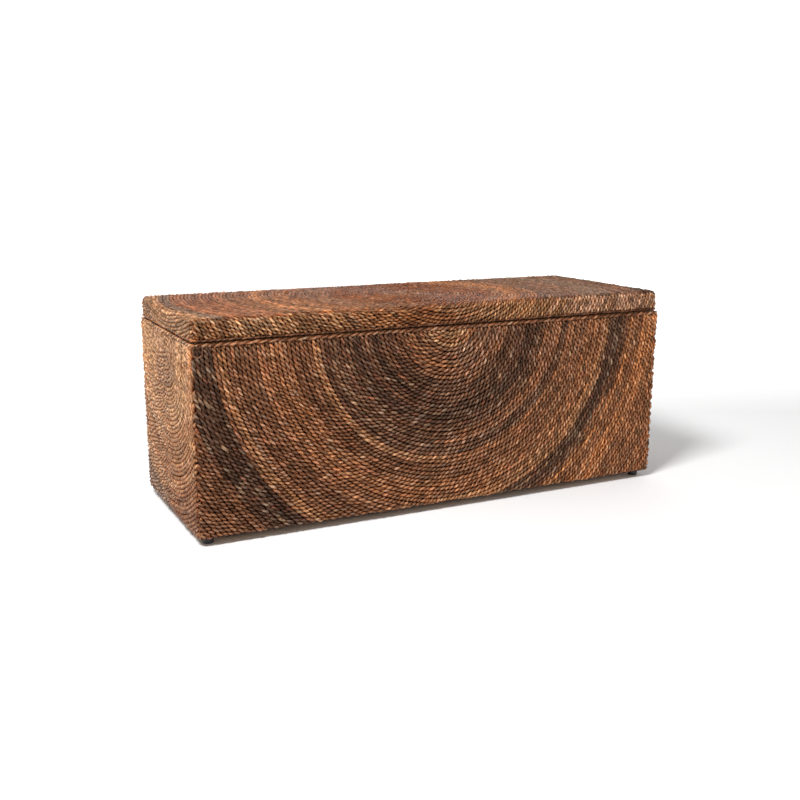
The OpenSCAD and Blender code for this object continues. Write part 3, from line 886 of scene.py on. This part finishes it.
RIM_TRIM_Z = (rim_lo.z + rim_hi.z) / 2 + RIM_LIFT
trim("rim_trim_rope", BASE_BOX[0], BASE_BOX[1], RIM_TRIM_Z, RIM_ROUND, "base", "rim_rope",
     21, rim_tone, RIM_STRAND_R, RIM_SWING, RIM_TWIST)
LID_TRIM_INSET = LID_TRIM_R + LID_TRIM_SLACK
LID_TRIM_Z = lid_lo.z - LID_TRIM_DROP
trim("lid_trim_rope", (lid_lo.x + LID_TRIM_INSET - LID_WIDER, lid_lo.y + LID_TRIM_INSET),
     (lid_hi.x - LID_TRIM_INSET + LID_WIDER, lid_hi.y - LID_TRIM_INSET), LID_TRIM_Z, LID_ROUND,
     "lid", None, 22, lid_trim_tone, LID_STRAND_R, LID_SWING, LID_TWIST)


def short_rope(mesh, rng, corners, tone, strand_r, swing, turn=KNOT_TWIST):
    """Adds a short rope along a smooth curve through the corners, which are points in space."""
    p = np.array(corners, float)
    for _ in range(4):
        cut = np.empty((2 * len(p) - 2, 3))
        cut[0::2] = 0.75 * p[:-1] + 0.25 * p[1:]
        cut[1::2] = 0.25 * p[:-1] + 0.75 * p[1:]
        p = np.concatenate([p[:1], cut, p[-1:]])
    n = np.tile([0.0, -1.0, 0.0], (len(p), 1))
    p, n, _, s = resample(p, n, p, KNOT_STEP)
    lay_rope(mesh, rng, p, n, s, [tone] * len(s), strand_r, swing, turn, tuck=False, wobble=0.0)


def rim_knot():
    """The dark knot at the front left corner, where the rim's rope ends under the seam."""
    mesh = RopeMesh()
    rng = np.random.default_rng(31)
    y = OUT_FRONT + 0.0015
    left, right, top, low = -OUT_X + 0.006, -OUT_X + 0.0235, RIM_Z + 0.006, RIM_Z - 0.017
    short_rope(mesh, rng, [(left, y, top), (left - 0.001, y, low + 0.008), (left + 0.002, y, low),
                           (right - 0.002, y - 0.001, low), (right + 0.001, y, low + 0.008),
                           (right, y, top)], "grey", 0.0017, (0.0010, 0.0012))
    middle = (left + right) / 2
    short_rope(mesh, rng, [(middle - 0.003, y, top), (middle + 0.003, y - 0.002, top - 0.009),
                           (middle - 0.002, y + 0.001, low + 0.004)], "ink", 0.0032, (0.0014, 0.0020))
    short_rope(mesh, rng, [(left + 0.001, y - 0.001, top - 0.001), (middle, y - 0.004, top - 0.004),
                           (right - 0.001, y - 0.001, top - 0.002)], "ink", 0.0023, (0.0010, 0.0014))
    ob = mesh.build("rim_knot")
    ob.data.materials.append(rope_material)
    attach(ob, "base")


rim_knot()


BACKING_T = 0.0012
BACKING_SOFT = 0.0005
BACKING_SHORT = 0.001  # how far the backing stops short of the seam


def backing(name, lo, hi, body, closed_on_top):
    """A shell just inside the rope, dark with painted shade for the gaps between ropes, with softly
    rounded edges and a rough face.

    It is open below, and its top is closed only where closed_on_top is true.
    """
    me = bpy.data.meshes.new(name)
    ob = bpy.data.objects.new(name, me)
    bpy.context.scene.collection.objects.link(ob)
    bm = bmesh.new()
    bmesh.ops.create_cube(bm, size=1.0)
    size = np.array(hi) - np.array(lo)
    mid = (np.array(hi) + np.array(lo)) / 2
    for vert in bm.verts:
        vert.co = [c * s + m for c, s, m in zip(vert.co, size, mid)]
    doomed = [f for f in bm.faces if f.normal.z < -0.9 or (f.normal.z > 0.9 and not closed_on_top)]
    bmesh.ops.delete(bm, geom=doomed, context="FACES")
    bm.to_mesh(me)
    bm.free()
    solid = ob.modifiers.new("thickness", "SOLIDIFY")
    solid.thickness = BACKING_T
    solid.offset = 1.0
    soft = ob.modifiers.new("soft_edges", "BEVEL")
    soft.width = BACKING_SOFT
    soft.segments = 2
    me.materials.append(backing_shade_material)
    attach(ob, body)


board_lo, board_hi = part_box("wall_board_front")
board_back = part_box("wall_board_back")[1].y
backing("base_shade_backing", (board_lo.x, board_lo.y, WEAVE_Z),
        (board_hi.x, board_back, rim_hi.z - BACKING_SHORT), "base", False)
lid_board_lo, lid_board_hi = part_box("lid_board")
backing("lid_shade_backing", (lid_board_lo.x, lid_board_lo.y, lid_lo.z + BACKING_SHORT),
        (lid_board_hi.x, lid_board_hi.y, lid_board_hi.z), "lid", True)

# ---------------------------------------------------------------- floor, light and camera


CAMERA_AZIMUTH = math.radians(-26.82)
CAMERA_ELEVATION = math.radians(12.79)
CAMERA_ROLL = math.radians(0.29)
CAMERA_PLACE = (-1.121, -2.183, 0.772)
CAMERA_LENS = 45.64
WORLD_LIGHT = 0.32
KEY_LIGHT = {"place": (-1.7, -1.15, 2.9), "target": (0, 0, 0.25), "size": (0.9, 0.9), "power": 128}
FILL_LIGHT = {"place": (1.2, -3.2, 1.6), "target": (0.1, 0, 0.25), "size": (2.0, 1.6), "power": 8}


def make_sweep():
    """A pale floor that bends up into a lit backdrop behind the trunk, square to the camera."""
    front, turn_y, bend, top, half_width = -6.0, 2.4, 1.6, 5.0, 9.0
    profile = [(front, 0.0), (turn_y, 0.0)]
    for i in range(1, 13):
        a = math.radians(90 * i / 12)
        profile.append((turn_y + bend * math.sin(a), bend * (1 - math.cos(a))))
    profile.append((turn_y + bend, top))
    verts = [(x, y, z - 0.0002) for y, z in profile for x in (-half_width, half_width)]
    faces = [(2 * i, 2 * i + 1, 2 * i + 3, 2 * i + 2) for i in range(len(profile) - 1)]
    me = bpy.data.meshes.new("studio_sweep")
    me.from_pydata(verts, [], faces)
    sweep = bpy.data.objects.new("studio_sweep", me)
    sweep.rotation_euler = (0, 0, CAMERA_AZIMUTH)
    bpy.context.scene.collection.objects.link(sweep)
    mat, nt, shader = new_material("pale_sweep")
    place = add(nt, "ShaderNodeTexCoord")
    split = add(nt, "ShaderNodeSeparateXYZ")
    nt.links.new(place.outputs["Object"], split.inputs[0])
    shader.inputs["Base Color"].default_value = (0.9, 0.9, 0.9, 1)
    shader.inputs["Emission Color"].default_value = (1, 1, 1, 1)
    nt.links.new(remap(nt, split.outputs["Y"], 0.8, 2.6, 0.0, 0.75), shader.inputs["Emission Strength"])
    shader.inputs["Roughness"].default_value = 0.9
    me.materials.append(mat)


def area_light(name, place, target, size, power):
    """A soft lamp at a place, turned to its target."""
    data = bpy.data.lights.new(name, "AREA")
    data.shape = "RECTANGLE"
    data.size = size[0]
    data.size_y = size[1]
    data.energy = power
    lamp = bpy.data.objects.new(name, data)
    lamp.location = place
    bpy.context.scene.collection.objects.link(lamp)
    lamp.rotation_euler = (Vector(target) - Vector(place)).to_track_quat("-Z", "Y").to_euler()


def make_world():
    """Even white light from all round."""
    world = bpy.data.worlds.new("studio")
    bpy.context.scene.world = world
    world.use_nodes = True
    back = world.node_tree.nodes["Background"]
    back.inputs["Color"].default_value = (1, 1, 1, 1)
    back.inputs["Strength"].default_value = WORLD_LIGHT


def make_camera():
    """The camera, from the direction it looks in and its roll."""
    a, e, roll = CAMERA_AZIMUTH, CAMERA_ELEVATION, CAMERA_ROLL
    back = Vector((math.sin(a) * math.cos(e), -math.cos(a) * math.cos(e), math.sin(e)))
    right = Vector((math.cos(a), math.sin(a), 0))
    up = back.cross(right)
    turned_right = math.cos(roll) * right + math.sin(roll) * up
    turned_up = math.cos(roll) * up - math.sin(roll) * right
    data = bpy.data.cameras.new("photo_camera")
    data.lens = CAMERA_LENS
    data.sensor_width = 36
    camera = bpy.data.objects.new("photo_camera", data)
    turn = Matrix((turned_right, turned_up, back)).transposed()
    camera.matrix_world = Matrix.Translation(CAMERA_PLACE) @ turn.to_4x4()
    bpy.context.scene.collection.objects.link(camera)
    bpy.context.scene.camera = camera


make_sweep()
make_world()
area_light("key_light", **KEY_LIGHT)
area_light("fill_light", **FILL_LIGHT)
make_camera()
bpy.context.scene.view_settings.view_transform = "Standard"
